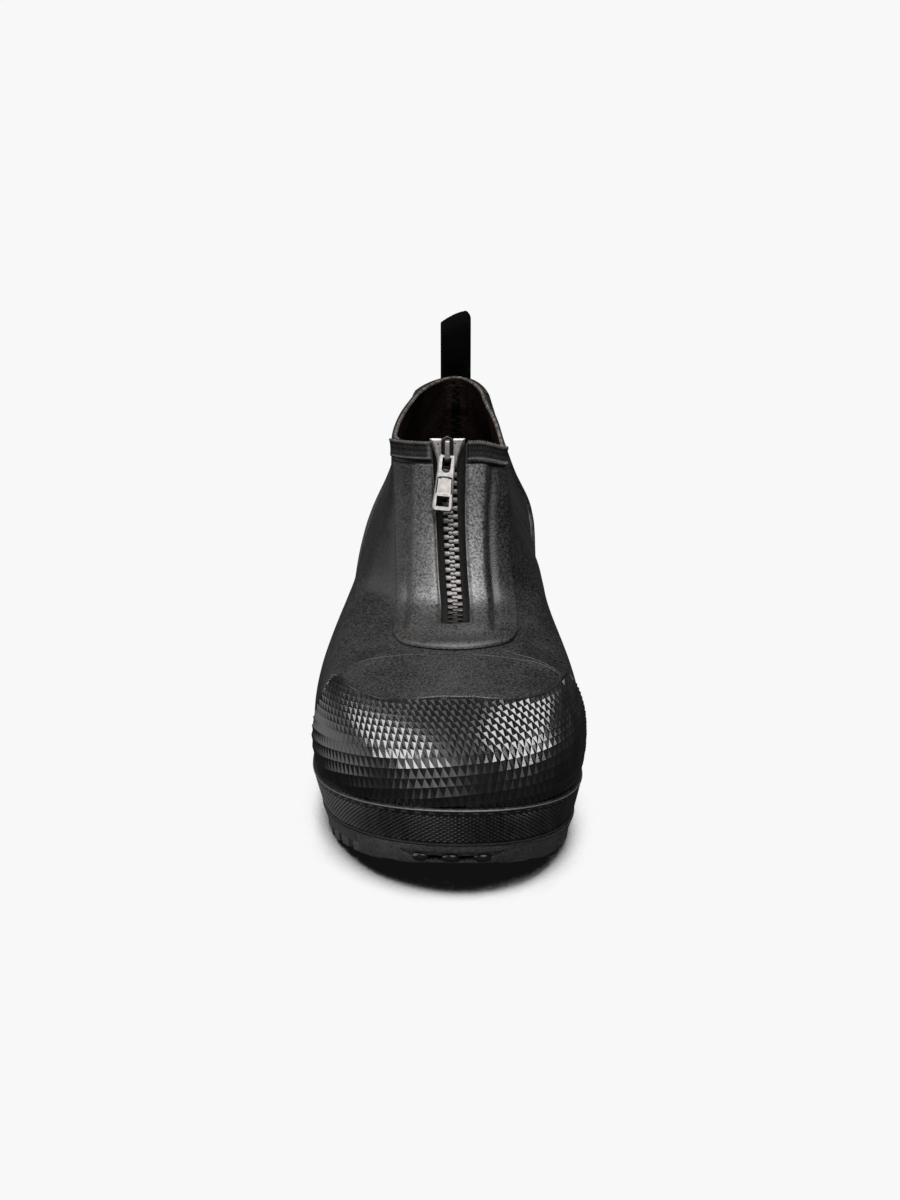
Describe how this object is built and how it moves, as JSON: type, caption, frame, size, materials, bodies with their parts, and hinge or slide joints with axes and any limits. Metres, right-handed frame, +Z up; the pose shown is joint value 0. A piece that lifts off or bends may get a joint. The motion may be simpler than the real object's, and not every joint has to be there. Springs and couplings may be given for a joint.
{
  "type": "overshoe",
  "caption": "Low black rubber overshoe for the right foot, opened by a front zip with a pull tab, with a studded toe cap, a foxing strip, a lugged sole and a webbing pull loop at the heel.",
  "frame": {"origin": "on the floor under the middle of the shoe's box", "axes": "+Z up, -Y towards the toe, +X towards the big-toe side of a right foot"},
  "size_m": [0.121, 0.3102, 0.1842],
  "materials": {
    "black_rubber": "matt, fine grain",
    "shiny_rubber": "satin, moulded pattern",
    "sole_rubber": "matt",
    "binding": "woven tape",
    "webbing": "ribbed webbing",
    "felt": "brushed felt",
    "silver_teeth": "silvered moulding",
    "nickel": "nickel plate"
  },
  "bodies": {
    "shoe": {"outsole": "sole_rubber", "insole": "felt", "upper": "black_rubber", "foxing": "shiny_rubber", "toe_cap": "shiny_rubber", "heel_counter": "black_rubber", "zip_panel": "black_rubber", "collar_band_left": "binding", "collar_band_right": "binding", "zip_tape_left": "binding", "zip_tape_right": "binding", "zip_teeth": "silver_teeth", "slider": "nickel", "pull_loop": "webbing"},
    "pull_tab": {"pull_tab": "nickel"}
  },
  "joints": [
    {"name": "pull_tab_hinge", "type": "hinge", "parent": "shoe", "child": "pull_tab", "pos_m": [-0.00017, -0.00344, 0.1471], "axis": [-1, 0, 0], "range_deg": [0, 140]}
  ]
}
